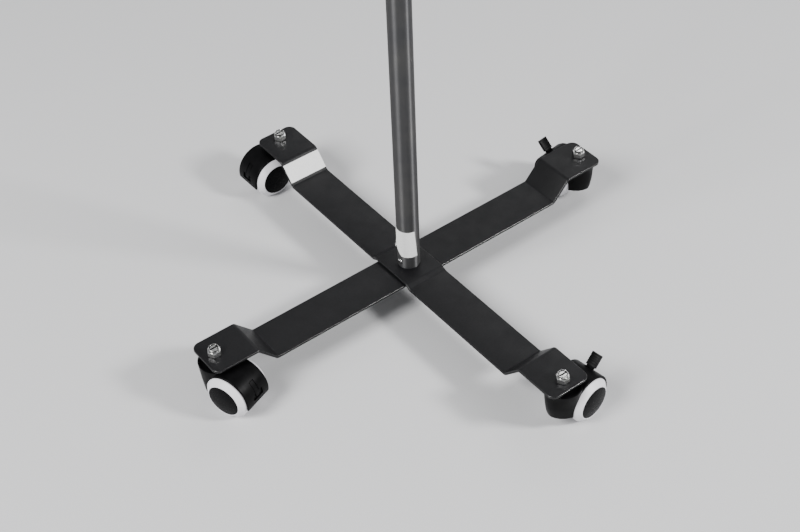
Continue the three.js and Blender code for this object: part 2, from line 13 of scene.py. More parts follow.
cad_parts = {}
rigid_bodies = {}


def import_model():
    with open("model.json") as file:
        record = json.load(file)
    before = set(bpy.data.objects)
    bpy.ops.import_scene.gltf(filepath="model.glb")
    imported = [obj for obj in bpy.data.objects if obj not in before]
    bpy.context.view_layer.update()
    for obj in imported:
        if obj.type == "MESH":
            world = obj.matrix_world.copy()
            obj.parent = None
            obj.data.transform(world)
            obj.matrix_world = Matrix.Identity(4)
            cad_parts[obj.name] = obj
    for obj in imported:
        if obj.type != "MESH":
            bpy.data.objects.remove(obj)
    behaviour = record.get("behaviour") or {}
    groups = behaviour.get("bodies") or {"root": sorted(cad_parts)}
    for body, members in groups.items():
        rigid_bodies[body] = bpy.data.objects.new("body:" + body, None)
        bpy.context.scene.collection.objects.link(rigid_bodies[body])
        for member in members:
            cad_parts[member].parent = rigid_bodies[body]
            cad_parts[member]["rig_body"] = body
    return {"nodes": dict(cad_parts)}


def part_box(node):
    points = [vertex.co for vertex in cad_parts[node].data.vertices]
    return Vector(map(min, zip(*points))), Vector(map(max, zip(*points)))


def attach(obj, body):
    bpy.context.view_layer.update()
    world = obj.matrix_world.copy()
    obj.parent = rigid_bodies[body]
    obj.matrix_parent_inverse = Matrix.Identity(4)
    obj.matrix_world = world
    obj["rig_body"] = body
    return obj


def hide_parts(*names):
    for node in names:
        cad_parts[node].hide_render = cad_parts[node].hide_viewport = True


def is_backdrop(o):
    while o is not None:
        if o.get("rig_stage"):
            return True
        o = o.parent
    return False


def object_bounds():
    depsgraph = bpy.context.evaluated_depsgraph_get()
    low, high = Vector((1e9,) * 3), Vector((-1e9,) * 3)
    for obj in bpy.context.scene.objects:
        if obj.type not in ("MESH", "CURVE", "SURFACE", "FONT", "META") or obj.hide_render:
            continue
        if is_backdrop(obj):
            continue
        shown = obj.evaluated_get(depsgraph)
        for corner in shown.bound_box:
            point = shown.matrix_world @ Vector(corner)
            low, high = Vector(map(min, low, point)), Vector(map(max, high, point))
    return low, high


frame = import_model()
cad_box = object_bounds()

# Sizes are in millimetres and angles in degrees, unless a comment says otherwise.
MM = 0.001                     # one millimetre in metres
GAP = 0.3                      # air between pieces that touch
MERGE = 0.002                  # points closer than this become one after a boolean

# how finely round pieces are made, and which edges stay sharp
FINE = 96                      # sides of a tube, wheel or hood
ROUND = 72                     # sides of another large round piece
SMALL = 40                     # sides of a screw or pin
STRAIGHT = 176                 # a corner flatter than this is left as it is
SMOOTH = 38                    # faces meeting below this angle are shaded as one
BAR_SMOOTH = 30                # the same on the bars

# cross base
LOWER_BAR_ANGLE, UPPER_BAR_ANGLE = 45, 135
BAR_HALF_WIDTH = 25
BAR_THICK = 3
BAR_REACH = 264
BAR_CORNER = 9
BAR_EDGE = 0.8                 # rounding of a bar's edges under its coating
ARM_TOP = 38
PLATE_TOP = 61
RISE_START = 191
RISE_END = 212
BEND_RADIUS = 5
STEP_INNER = 27
STEP_OUTER = 33
CROSSING_TOP = ARM_TOP + BAR_THICK + GAP
BOLT_RADIUS = 4
BOLT_HOLE = 4.4
BOLT_PITCH = 1.25

# foot of the upright
FOOT_SCREWS = {                # angle round the upright and height
    "foot_screw_low": (230, CROSSING_TOP + 9),
    "foot_screw_high": (189, CROSSING_TOP + 26),
}
FOOT_SCREW_HOLE = 1.8
PLUG_TOP = CROSSING_TOP + GAP + 33
WASHER_RADIUS = 8
WASHER_THICK = 1.6
BASE_BOLT_HEAD = 5.3

# paper labels
LABEL_FROM, LABEL_TO = 190, 325
LABEL_LEAN = 13                # how far the right edge leans to the left at its top
LABEL_LOW, LABEL_HIGH = CROSSING_TOP + 17, CROSSING_TOP + 53
LABEL_SKIN = 0.24
TORN_WIDTH, TORN_HEIGHT = 11.0, 15.0
ARM_LABEL_LENGTH = 23
ARM_LABEL_HALF_WIDTH = 24.5
ARM_LABEL_SKIN = 0.22
ARM_LABEL_SHARE = 0.47         # where the label's middle lies on the slope, from 0 to 1

# casters
STEM_REACH = 250
TRAIL = 24
WHEEL_RADIUS = 25
WHEEL_INNER = 5
TREAD_OUTER = 17.9
CONE_OUTER = 23.6
CAP_RADIUS = 18.2
CAP_SEAT = 21
CAP_CROWN = 25.2
HOOD_RADIUS = 27.8
HOOD_HALF_WIDTH = 17.6
HOOD_FLOOR = 20
HOOD_RIM = 53.5
COLLAR_OFFSET = 1.5
CUP_RADIUS = 17.6
CUP_FLOOR = 51.3
WHEEL_WELL = 25.8
WEB_HALF = 4.6
STEM_FOOT = 40
STEM_FOOT_RADIUS = 5
AXLE_RADIUS = 3
AXLE_HALF_LENGTH = 20
NUT_HALF_FLATS = 6.5
NUT_LOW = PLATE_TOP + GAP
NUT_HEIGHT = 9.5
NUT_HEX_HEIGHT = 6
CRIMP_RADIUS = 5.25            # round rim that holds the nut's nylon ring
CRIMP_FLOOR = NUT_LOW + 7.4
STEM_TOP = NUT_LOW + NUT_HEIGHT - 0.9
STEM_SLOT_HALF = 0.9
STEM_SLOT_DEPTH = 3.2
RECESS_DEPTH = 1.5
RECESS_STEM = (14, 45.5, 3.2)  # start and end round the axle, half width
RECESS_FOOT = (1, 16, 7.5)
TONGUE = (6, 44, 2.5)
TONGUE_DEPTH = 0.25
PEDAL_TRAIL = 38
PEDAL_HEIGHT = 38
PEDAL_ANGLE = 45
PEDAL_ROOT = 10.6
PEDAL_LENGTH = 25
PEDAL_HALF_WIDTH = 5.7
PEDAL_ARM_HALF = 4
PEDAL_THICK = 4

# upright and crossbar
LOWER_OUTER, LOWER_INNER, LOWER_TOP = 12.5, 11.3, 800
UPPER_OUTER, UPPER_INNER, UPPER_BOTTOM, UPPER_TOP = 11, 10, 340, 1060
CROSSBAR_OUTER, CROSSBAR_INNER, CROSSBAR_HALF = 11, 10, 350
CROSSBAR_HEIGHT = 1080
CROSSBAR_SCREW = 2
EXTENSION_OUTER, EXTENSION_INNER, EXTENSION_START, EXTENSION_END = 9.5, 8.5, 10, 450
RUNNING_BORE = UPPER_OUTER + GAP
MAST_COLLAR_WIDE, MAST_COLLAR_NARROW = 16.5, 15
MAST_COLLAR_DOWN, MAST_COLLAR_UP = 36, 30
END_COLLAR_WIDE, END_COLLAR_NARROW = 15, 13.5
END_COLLAR_BACK, END_COLLAR_OUT = 26, 28
TEE_RADIUS = 15
TEE_HALF_LENGTH = 36
TEE_DEPTH = 36
BOSS_RADIUS = 7                # round boss that a knob's screw goes through
BOSS_START = 5
BOSS_REACH = 9
KNOB_SCREW = 3
KNOB_PITCH = 1.0
KNOB_RADIUS = 13
KNOB_LOBE = 1.5
KNOB_LOBES = 5
KNOB_EDGE = 1.6
KNOB_THICK = 12

# stage: places and sizes in metres, the camera's optics in millimetres
FLOOR_HALF = 8
LIGHTS = {                     # place, target, (width, height), watts
    "key": ((-1.5, -1.58, 2.2), (0, 0, 0.1), (1.2, 1.2), 105),
    "strip": ((-1.56, -1.5, 1.9), (0, 0, 0.2), (0.14, 1.2), 7),
    "fill": ((2.3, -0.4, 1.6), (0, 0, 0.2), (0.45, 0.45), 85),
    "rear": ((0.4, 2.4, 2.2), (0, 0, 0.3), (2.2, 1.0), 18),
}
SKY = (0.78, 0.79, 0.81, 1)
SKY_STRENGTH = 0.5
CAMERA_PLACE = (0.18248, -1.17602, 1.15798)
CAMERA_YAW, CAMERA_PITCH, CAMERA_ROLL = radians(99.306), radians(43.344), radians(-2.588)
CAMERA_SENSOR, CAMERA_LENS = 36, 66.73


# ---------------------------------------------------------------- shapes
def filleted(corners, radius=0.5, steps=4, closed=False):
    """Rounds the corners of a polyline. A corner is (x, y) or (x, y, its own radius)."""
    points = [Vector(corner[:2]) for corner in corners]
    rounded = []
    for i, here in enumerate(points):
        own = corners[i][2] if len(corners[i]) > 2 else radius
        if own <= 0 or (not closed and i in (0, len(points) - 1)):
            rounded.append(here)
            continue
        before = points[i - 1] - here
        after = points[(i + 1) % len(points)] - here
        angle = before.angle(after)
        if angle > radians(STRAIGHT):
            rounded.append(here)
            continue
        reach = min(own / tan(angle / 2), 0.48 * before.length, 0.48 * after.length)
        fillet = reach * tan(angle / 2)
        bisector = (before.normalized() + after.normalized()).normalized()
        centre = here + bisector * fillet / sin(angle / 2)
        start = here + before.normalized() * reach - centre
        sweep = pi - angle
        turn = 1 if before.x * after.y - before.y * after.x < 0 else -1
        for k in range(steps + 1):
            rounded.append(centre + turned_by(start, turn * sweep * k / steps))
    return [(point.x, point.y) for point in rounded]


def turned_by(vector, angle):
    x = vector.x * cos(angle) - vector.y * sin(angle)
    y = vector.x * sin(angle) + vector.y * cos(angle)
    return Vector((x, y))


def mesh_of(points, faces):
    mesh = bpy.data.meshes.new("shape")
    mesh.from_pydata([tuple(point) for point in points], [], faces)
    mesh.update()
    return mesh


def loft(rings, closed=False):
    """Skins rings of equal length; the end rings are capped unless the rings close on themselves."""
    count = len(rings[0])
    points = [point for ring in rings for point in ring]
    faces = []
    spans = len(rings) if closed else len(rings) - 1
    for i in range(spans):
        low = i * count
        high = ((i + 1) % len(rings)) * count
        for j in range(count):
            k = (j + 1) % count
            faces.append((low + j, low + k, high + k, high + j))
    if not closed:
        faces.append(tuple(reversed(range(count))))
        faces.append(tuple(range(len(points) - count, len(points))))
    return mesh_of(points, faces)


def lathe(profile, sides=ROUND, closed=False):
    """Solid of revolution about Z from (radius, height) pairs, outer side going up."""
    points = []
    rings = []
    for radius, height in profile:
        if radius < 1e-6:
            rings.append([len(points)] * sides)
            points.append((0, 0, height))
            continue
        rings.append(list(range(len(points), len(points) + sides)))
        for k in range(sides):
            turn = 2 * pi * k / sides
            points.append((radius * cos(turn), radius * sin(turn), height))
    faces = []
    followers = rings[1:] + rings[:1] if closed else rings[1:]
    for low, high in zip(rings, followers):
        for k in range(sides):
            corners = [low[k], low[(k + 1) % sides], high[(k + 1) % sides], high[k]]
            face = tuple(dict.fromkeys(corners))
            if len(face) > 2:
                faces.append(face)
    return mesh_of(points, faces)


def rod(radius, low, high, edge=0.0, sides=ROUND):
    return lathe(filleted([(0, low), (radius, low), (radius, high), (0, high)], edge), sides)


def tube(outer, inner, low, high, edge=0.3, sides=ROUND):
    corners = [(inner, low), (outer, low), (outer, high), (inner, high)]
    return lathe(filleted(corners, edge, steps=3, closed=True), sides, closed=True)


def prism(outline, low, high):
    """Extrudes an outline of (x, y) pairs between two heights."""
    return loft([[(x, y, z) for x, y in outline] for z in (low, high)])


def slab(outline, half_width):
    """Extrudes an outline of (x, z) pairs across Y about the middle plane."""
    return loft([[(x, y, z) for x, z in outline] for y in (half_width, -half_width)])


def box(x0, x1, y0, y1, z0, z1):
    return prism([(x0, y0), (x1, y0), (x1, y1), (x0, y1)], z0, z1)


def moved(mesh, offset=(0, 0, 0), axis="Z", angle=0.0):
    """Turns a mesh about an axis through the origin, then shifts it."""
    mesh.transform(Matrix.Translation(offset) @ Matrix.Rotation(radians(angle), 4, axis))
    return mesh


def along_x(mesh):
    return moved(mesh, axis="Y", angle=90)


def along_y(mesh):
    return moved(mesh, axis="X", angle=-90)


def polar(radius, angle):
    return radius * cos(radians(angle)), radius * sin(radians(angle))


def sheet_mesh(upper, under, columns, rows):
    """Closes two grids of points into one thin sheet."""
    width = rows + 1
    base = len(upper)
    faces = []
    for i in range(columns):
        for k in range(rows):
            a, b = i * width + k, (i + 1) * width + k
            faces.append((a, b, b + 1, a + 1))
            faces.append((base + a, base + a + 1, base + b + 1, base + b))
    rim = list(range(width))
    rim += [i * width + rows for i in range(1, columns + 1)]
    rim += [columns * width + k for k in range(rows - 1, -1, -1)]
    rim += [i * width for i in range(columns - 1, 0, -1)]
    for a, b in zip(rim, rim[1:] + rim[:1]):
        faces.append((a, b, base + b, base + a))
    return mesh_of([*upper, *under], faces)


def ragged(place, size):
    """A small repeatable wobble for a torn paper edge."""
    return size * (sin(3.1 * place + 0.7) + 0.6 * sin(7.3 * place + 2.1) + 0.4 * sin(17.9 * place))


def worked(base, added=(), cut=(), kept=(), edge=0.0, sharp=32, steps=2):
    """Joins, cuts and intersects closed meshes, then rounds the edges sharper than an angle.

    Points left almost on top of each other by a boolean are merged at the end.
    """
    made = []

    def holder(mesh):
        obj = bpy.data.objects.new("work", mesh)
        bpy.context.scene.collection.objects.link(obj)
        made.append(obj)
        return obj

    body = holder(base)
    for operation, tools in (("UNION", added), ("DIFFERENCE", cut), ("INTERSECT", kept)):
        for tool in tools:
            step = body.modifiers.new("step", "BOOLEAN")
            step.operation = operation
            step.solver = "EXACT"
            step.object = holder(tool)
    if edge:
        bevel = body.modifiers.new("edge", "BEVEL")
        bevel.width = edge
        bevel.segments = steps
        bevel.limit_method = "ANGLE"
        bevel.angle_limit = radians(sharp)
        bevel.miter_outer = "MITER_ARC"
    bpy.context.view_layer.update()
    solved = body.evaluated_get(bpy.context.evaluated_depsgraph_get())
    result = bpy.data.meshes.new_from_object(solved)
    for obj in made:
        bpy.data.objects.remove(obj)
    cleaned = bmesh.new()
    cleaned.from_mesh(result)
    bmesh.ops.remove_doubles(cleaned, verts=cleaned.verts, dist=MERGE)
    bmesh.ops.dissolve_degenerate(cleaned, edges=cleaned.edges, dist=MERGE)
    cleaned.to_mesh(result)
    cleaned.free()
    return result


# ---------------------------------------------------------------- materials
class Look:
    """A procedural material: a Principled shader with colour, roughness and bump from its nodes."""

    def __init__(self, name, metallic=0.0, **constants):
        self.material = bpy.data.materials.new(name)
        self.material.use_nodes = True
        self.tree = self.material.node_tree
        self.shader = self.tree.nodes["Principled BSDF"]
        self.shader.inputs["Metallic"].default_value = metallic
        for socket, value in constants.items():
            self.shader.inputs[socket.replace("_", " ")].default_value = value
        self.place = self.tree.nodes.new("ShaderNodeTexCoord").outputs["Object"]
        self.normal = None

    def link(self, source, target):
        self.tree.links.new(source, target)

    def stretched(self, scale):
        mapping = self.tree.nodes.new("ShaderNodeMapping")
        mapping.inputs["Scale"].default_value = scale
        self.link(self.place, mapping.inputs["Vector"])
        return mapping.outputs["Vector"]

    def noise(self, scale, detail=3.0, place=None, distortion=0.0):
        """Noise from 0 to 1; scale counts its features in a metre."""
        node = self.tree.nodes.new("ShaderNodeTexNoise")
        node.inputs["Scale"].default_value = scale
        node.inputs["Detail"].default_value = detail
        node.inputs["Distortion"].default_value = distortion
        self.link(place or self.place, node.inputs["Vector"])
        return node.outputs["Fac"]

    def cells(self, scale, feature="F1"):
        """Distance to the middle of the nearest cell; scale counts cells in a metre."""
        node = self.tree.nodes.new("ShaderNodeTexVoronoi")
        node.feature = feature
        node.inputs["Scale"].default_value = scale
        self.link(self.place, node.inputs["Vector"])
        return node.outputs["Distance"]

    def ramp(self, value, stops):
        """Maps a value to colours; each stop is (place, colour or grey)."""
        node = self.tree.nodes.new("ShaderNodeValToRGB")
        elements = node.color_ramp.elements
        while len(elements) < len(stops):
            elements.new(0.5)
        for element, (place, colour) in zip(elements, stops):
            element.position = place
            grey = (colour,) * 3 if isinstance(colour, (int, float)) else colour
            element.color = (*grey, 1.0)
        self.link(value, node.inputs["Fac"])
        return node.outputs["Color"]

    def mottled(self, scale, detail, *stops):
        """Colours or greys picked by noise."""
        return self.ramp(self.noise(scale, detail), stops)

    def shaded(self, reach):
        """How open a place is, from 0 in a deep slot to 1 on a bare face; reach is in millimetres."""
        node = self.tree.nodes.new("ShaderNodeAmbientOcclusion")
        node.samples = 8
        node.inputs["Distance"].default_value = reach * MM
        return node.outputs["AO"]

    def mixed(self, factor, first, second):
        node = self.tree.nodes.new("ShaderNodeMix")
        node.data_type = "RGBA"
        self.link(factor, node.inputs["Factor"])
        self.link(first, node.inputs["A"])
        self.link(second, node.inputs["B"])
        return node.outputs["Result"]

    def colour(self, source):
        self.link(source, self.shader.inputs["Base Color"])

    def roughness(self, source):
        self.link(source, self.shader.inputs["Roughness"])

    def bump(self, height, depth, strength=1.0):
        """Adds surface relief; depth is in millimetres."""
        node = self.tree.nodes.new("ShaderNodeBump")
        node.inputs["Strength"].default_value = strength
        node.inputs["Distance"].default_value = depth * MM
        self.link(height, node.inputs["Height"])
        if self.normal:
            self.link(self.normal, node.inputs["Normal"])
        self.normal = node.outputs["Normal"]
        self.link(self.normal, self.shader.inputs["Normal"])


def powder_coat():
    look = Look("powder_black", Specular_IOR_Level=0.24)
    grain = look.noise(1500, 4)
    look.colour(look.mottled(700, 5, (0.3, (0.0028, 0.0028, 0.0033)), (0.72, (0.0062, 0.0061, 0.0070))))
    look.roughness(look.mottled(60, 6, (0.3, 0.40), (0.75, 0.54)))
    look.bump(look.noise(14, 2), 0.3, 0.25)
    look.bump(grain, 0.16, 0.9)
    return look.material


def powder_edge():
    """Where the coat runs thin over the bars' rounded edges it is smoother and catches the light."""
    look = Look("powder_edge", Specular_IOR_Level=0.6)
    look.colour(look.mottled(700, 5, (0.3, (0.0030, 0.0030, 0.0034)), (0.72, (0.0075, 0.0074, 0.0080))))
    look.roughness(look.mottled(160, 5, (0.3, 0.24), (0.75, 0.34)))
    look.bump(look.noise(500, 2), 0.02, 0.2)
    return look.material


def dark_chrome(axis):
    """Polished round the tube, so that a light shows as a streak along it, over a dull dark ground."""
    look = Look(f"dark_chrome_{axis.lower()}", metallic=0.55, Anisotropic=1.0, Anisotropic_Rotation=0.25)
    smudge = look.noise(38, 6)
    look.colour(look.ramp(smudge, [(0.35, (0.059, 0.059, 0.062)), (0.7, (0.080, 0.079, 0.078))]))
    look.roughness(look.ramp(smudge, [(0.35, 0.46), (0.75, 0.52)]))
    polish = (1.0, 1.0, 60.0) if axis == "Z" else (60.0, 1.0, 1.0)
    look.bump(look.noise(60, 4, look.stretched(polish)), 0.02, 0.2)
    around = look.tree.nodes.new("ShaderNodeTangent")
    around.direction_type = "RADIAL"
    around.axis = axis
    look.link(around.outputs["Tangent"], look.shader.inputs["Tangent"])
    return look.material


def zinc_plate():
    """Bright plating with painted shade: near black in its slots, threads and gaps, wherever ambient
    occlusion finds nearby surfaces.
    """
    look = Look("zinc", metallic=1.0)
    patches = look.noise(160, 4)
    plated = look.ramp(patches, [
        (0.3, (0.66, 0.66, 0.63)),
        (0.55, (0.76, 0.76, 0.75)),
        (0.8, (0.72, 0.73, 0.76)),
    ])
    # painted shade: this near-black colour is laid where ambient occlusion is low, in slots, threads and
    # against nearby parts
    grime_and_painted_shade = look.ramp(patches, [(0.3, (0.012, 0.011, 0.010)), (0.8, (0.030, 0.029, 0.027))])
    openness = look.ramp(look.shaded(3), [(0.35, 0.0), (0.82, 1.0)])
    look.colour(look.mixed(openness, grime_and_painted_shade, plated))
    look.roughness(look.mottled(700, 4, (0.3, 0.14), (0.75, 0.24)))
    look.bump(look.noise(900, 3), 0.02, 0.3)
    return look.material


def hood_plastic():
    look = Look("hood_plastic", Specular_IOR_Level=0.07)
    look.colour(look.mottled(90, 6, (0.3, (0.0015, 0.0015, 0.0017)), (0.8, (0.0032, 0.0032, 0.0035))))
    look.roughness(look.mottled(160, 7, (0.3, 0.34), (0.75, 0.50)))
    look.bump(look.cells(1700), 0.03, 0.45)
    look.bump(look.noise(45, 2), 0.2, 0.15)
    return look.material


def cap_plastic():
    look = Look("cap_plastic", Specular_IOR_Level=0.045)
    look.colour(look.mottled(120, 6, (0.3, (0.0022, 0.0022, 0.0025)), (0.8, (0.0045, 0.0045, 0.0050))))
    scuffs = look.noise(260, 8, look.stretched((1.0, 0.1, 1.0)), 0.6)
    look.roughness(look.ramp(scuffs, [(0.35, 0.20), (0.72, 0.36)]))
    look.bump(look.noise(1500, 4), 0.02, 0.3)
    return look.material


def wheel_white():
    look = Look("wheel_white", Specular_IOR_Level=0.45)
    clean = look.mottled(30, 3, (0.2, (0.76, 0.75, 0.78)), (0.8, (0.82, 0.81, 0.83)))
    grime_and_painted_shade = look.mottled(210, 7, (0.2, (0.50, 0.49, 0.48)), (0.5, (0.62, 0.61, 0.60)))
    dirt = look.mottled(340, 8, (0.60, 0.0), (0.80, 0.35))
    look.colour(look.mixed(dirt, clean, grime_and_painted_shade))
    look.roughness(look.mottled(420, 5, (0.3, 0.36), (0.75, 0.50)))
    look.bump(look.noise(2100, 3), 0.02, 0.35)
    return look.material


def nylon():
    look = Look("nylon_insert", Specular_IOR_Level=0.25)
    look.colour(look.mottled(700, 4, (0.3, (0.010, 0.010, 0.011)), (0.7, (0.020, 0.020, 0.021))))
    look.roughness(look.mottled(900, 3, (0.3, 0.4), (0.7, 0.55)))
    return look.material


def knob_plastic():
    look = Look("knob_plastic", Specular_IOR_Level=0.3)
    look.colour(look.mottled(130, 6, (0.3, (0.0030, 0.0030, 0.0034)), (0.8, (0.0068, 0.0068, 0.0072))))
    look.roughness(look.mottled(240, 6, (0.3, 0.42), (0.75, 0.58)))
    look.bump(look.cells(1100, "SMOOTH_F1"), 0.08, 0.6)
    return look.material


def label_paper():
    look = Look("paper", Specular_IOR_Level=0.3)
    fibres = look.noise(900, 7, distortion=1.2)
    look.colour(look.ramp(fibres, [(0.3, (0.78, 0.78, 0.765)), (0.65, (0.90, 0.90, 0.885))]))
    look.roughness(look.mottled(300, 4, (0.3, 0.72), (0.7, 0.88)))
    look.bump(look.noise(70, 3), 0.25, 0.35)
    look.bump(fibres, 0.04, 0.5)
    return look.material


POWDER = powder_coat()
POWDER_EDGE = powder_edge()
CHROME = dark_chrome("Z")
CHROME_LEVEL = dark_chrome("X")
ZINC = zinc_plate()
HOOD = hood_plastic()
CAP = cap_plastic()
WHITE = wheel_white()
NYLON = nylon()
KNOB = knob_plastic()
PAPER = label_paper()


# ---------------------------------------------------------------- pieces
def piece(name, mesh, node, slot, material, place=Matrix(), stands_for=True, smooth=SMOOTH,
          origin=Matrix()):
    """Makes a piece from a mesh in millimetres; it rides on the body of its CAD node.

    Material is one material, or a tuple of them for a mesh whose faces carry material numbers.
    """
    data = mesh.copy()
    data.name = name
    data.transform(place @ Matrix.Scale(MM, 4))
    data.shade_smooth()
    data.set_sharp_from_angle(angle=radians(smooth))
    for finish in material if isinstance(material, tuple) else (material,):
        data.materials.append(finish)
    obj = bpy.data.objects.new(name, data)
    bpy.context.scene.collection.objects.link(obj)
    obj.matrix_world = origin
    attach(obj, frame["nodes"][node]["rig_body"])
    if stands_for:
        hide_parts(node)


def detail(node, mesh, slot, material, place=Matrix(), smooth=SMOOTH, origin=Matrix()):
    """A piece that stands for one CAD node."""
    piece(f"{node}_detail", mesh, node, slot, material, place, smooth=smooth, origin=origin)


def middle(node):
    """Middle of a CAD node's box, in metres."""
    low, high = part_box(node)
    return (low + high) / 2


# ---------------------------------------------------------------- cross base
def bent_path(corners, steps=9):
    """Middle line of a bent strip as (x, z, normal x, normal z); the corners lie on its upper face."""
    half = BAR_THICK / 2
    line = [Vector((x, z - half)) for x, z in corners]
    way = [(b - a).normalized() for a, b in zip(line, line[1:])]
    left = [Vector((-d.y, d.x)) for d in way]
    stations = [(*line[0], *left[0])]
    for i in range(1, len(line) - 1):
        turn = atan2(way[i - 1].x * way[i].y - way[i - 1].y * way[i].x, way[i - 1].dot(way[i]))
        side = 1 if turn > 0 else -1
        start = line[i] - way[i - 1] * BEND_RADIUS * tan(abs(turn) / 2)
        centre = start + left[i - 1] * side * BEND_RADIUS
        for k in range(steps + 1):
            normal = turned_by(left[i - 1], turn * k / steps)
            stations.append((*(centre - normal * side * BEND_RADIUS), *normal))
    stations.append((*line[-1], *left[-1]))
    return stations


def bent_bar(middle_corners):
    """Flat bar along X with rounded edges, bent up at both ends, its end corners rounded in plan."""
    corner_x = BAR_REACH - BAR_CORNER
    corner_y = BAR_HALF_WIDTH - BAR_CORNER
    arm = [(RISE_START, ARM_TOP), (RISE_END, PLATE_TOP), (corner_x, PLATE_TOP)]
    mirrored = [(-x, z) for x, z in reversed(arm)]
    path = bent_path([*mirrored, *middle_corners, *arm])
    half = BAR_THICK / 2
    edge_steps = 4
    layers = []
    for k in range(edge_steps + 1):
        angle = pi / 2 * k / edge_steps
        layers.append((BAR_EDGE * (1 - sin(angle)), half - BAR_EDGE * (1 - cos(angle))))
    layers += [(inset, -height) for inset, height in reversed(layers)]
    corner_steps = 12

    def outline(inset, height):
        """One layer of the bar: (x, y, z) down its left side and back along its right side."""
        radius = BAR_CORNER - inset
        plate = PLATE_TOP - half + height
        turns = [pi / 2 * k / corner_steps for k in range(1, corner_steps + 1)]
        end = [(corner_x + radius * sin(a), corner_y + radius * cos(a), plate) for a in turns]
        along = [(x + nx * height, BAR_HALF_WIDTH - inset, z + nz * height) for x, z, nx, nz in path]
        start = [(-x, y, z) for x, y, z in reversed(end)]
        left = [*start, *along, *end]
        return [*left, *((x, -y, z) for x, y, z in reversed(left))]

    rings = [outline(inset, height) for inset, height in layers]
    count = len(rings[0])
    points = [point for ring in rings for point in ring]
    faces = []
    for i in range(len(rings) - 1):
        for j in range(count):
            k = (j + 1) % count
            faces.append((i * count + k, i * count + j, (i + 1) * count + j, (i + 1) * count + k))
    last = (len(rings) - 1) * count
    for j in range(count // 2 - 1):
        far = count - 1 - j
        faces.append((j, j + 1, far - 1, far))
        faces.append((last + far, last + far - 1, last + j + 1, last + j))
    return mesh_of(points, faces)


def leans(slant):
    """True for one component of a normal on a rounded edge, where it is not near 0 or 1."""
    return 0.1 < abs(slant) < 0.98


def drilled(mesh):
    """Drills a bar and gives the faces of its rounded edges the bar's second material."""
    holes = [moved(rod(BOLT_HOLE, 0, 2 * PLATE_TOP, sides=SMALL), (x, 0, 0))
             for x in (-STEM_REACH, 0, STEM_REACH)]
    bar = worked(mesh, cut=holes)
    for face in bar.polygons:
        on_side = abs(face.center.y) > BAR_HALF_WIDTH - BAR_EDGE and leans(face.normal.y)
        on_end = abs(face.center.x) > BAR_REACH - BAR_CORNER and leans(face.normal.z)
        face.material_index = int(on_side or on_end)
    return bar


def turn_about_upright(angle):
    return Matrix.Rotation(radians(angle), 4, "Z")


def crossbar_level():
    """Puts a piece that was made about the origin at the crossbar's height."""
    return Matrix.Translation((0, 0, CROSSBAR_HEIGHT * MM))


def make_bars():
    """Both bars of the cross; the upper one steps over the lower one at the crossing."""
    step = [
        (-STEP_OUTER, ARM_TOP), (-STEP_INNER, CROSSING_TOP),
        (STEP_INNER, CROSSING_TOP), (STEP_OUTER, ARM_TOP),
    ]
    coats = (POWDER, POWDER_EDGE)
    bars = (("lower_bar", LOWER_BAR_ANGLE, []), ("upper_bar", UPPER_BAR_ANGLE, step))
    for node, angle, crossing in bars:
        bar = drilled(bent_bar(crossing))
        detail(node, bar, "powder_black", coats, turn_about_upright(angle), smooth=BAR_SMOOTH)


# ---------------------------------------------------------------- fasteners
def thread(radius, pitch, low, high, depth=0.55, sides=SMALL):
    """Threaded rod about Z: a V groove that climbs by its pitch each turn and fades at both ends."""
    rows_in_a_pitch = 6
    rows = ceil((high - low) / pitch * rows_in_a_pitch)
    run_out = 0.6 * pitch
    rings = []
    for i in range(rows + 1):
        z = low + (high - low) * i / rows
        fade = min(1, (z - low) / run_out, (high - z) / run_out)
        ring = []
        for k in range(sides):
            climb = (z / pitch - k / sides) % 1
            cut = depth * abs(2 * climb - 1) * fade + 0.5 * depth * (1 - fade)
            x, y = polar(radius - cut, 360 * k / sides)
            ring.append((x, y, z))
        rings.append(ring)
    return loft(rings)


def hexagon(half_flats):
    return [polar(half_flats / cos(pi / 6), 60 * k) for k in range(6)]


def hex_head(half_flats, low, high, chamfer=0.9):
    """Hexagonal head with its corners chamfered top and bottom."""
    corner = half_flats / cos(pi / 6) + 0.05
    flat = half_flats * 0.96
    turned = lathe([
        (0, low), (flat, low), (corner, low + chamfer),
        (corner, high - chamfer), (flat, high), (0, high),
    ])
    return worked(prism(hexagon(half_flats), low, high), kept=[turned])


def lock_nut():
    """Hexagonal nut with a round rim, crimped over its nylon ring."""
    hexed = hex_head(NUT_HALF_FLATS, NUT_LOW, NUT_LOW + NUT_HEX_HEIGHT)
    root = NUT_LOW + 5
    top = NUT_LOW + NUT_HEIGHT
    crimp = lathe(filleted([
        (0, root), (CRIMP_RADIUS, root, 0), (CRIMP_RADIUS, top, 0.6),
        (4.7, top, 0.2), (4.5, CRIMP_FLOOR, 0), (0, CRIMP_FLOOR),
    ]))
    bore = rod(BOLT_RADIUS + 0.12, NUT_LOW - 5, NUT_LOW + 20, sides=SMALL)
    return worked(hexed, added=[crimp], cut=[bore])


def nylon_ring():
    """Nylon insert that shows inside the nut's rim."""
    outer, low, high = 4.45, NUT_LOW + 7.45, NUT_LOW + 8.3
    return tube(outer, BOLT_RADIUS + 0.05, low, high, 0.12, SMALL)


def caster_stem():
    """Stem of a caster: a foot in the hood, a hexagonal shoulder, and a thread with a slotted end."""
    plate_under = PLATE_TOP - BAR_THICK
    shoulder_corner = 8
    slot_reach = 3.9
    foot = rod(STEM_FOOT_RADIUS, STEM_FOOT, CUP_FLOOR + 1, 0.5)
    shoulder = hex_head(shoulder_corner * cos(pi / 6), CUP_FLOOR + GAP, plate_under - GAP)
    screw = thread(BOLT_RADIUS, BOLT_PITCH, plate_under - 2, STEM_TOP)
    slot = box(-slot_reach, slot_reach, -STEM_SLOT_HALF, STEM_SLOT_HALF, STEM_TOP - STEM_SLOT_DEPTH,
               STEM_TOP + 1)
    return worked(foot, added=[shoulder, screw], cut=[slot])


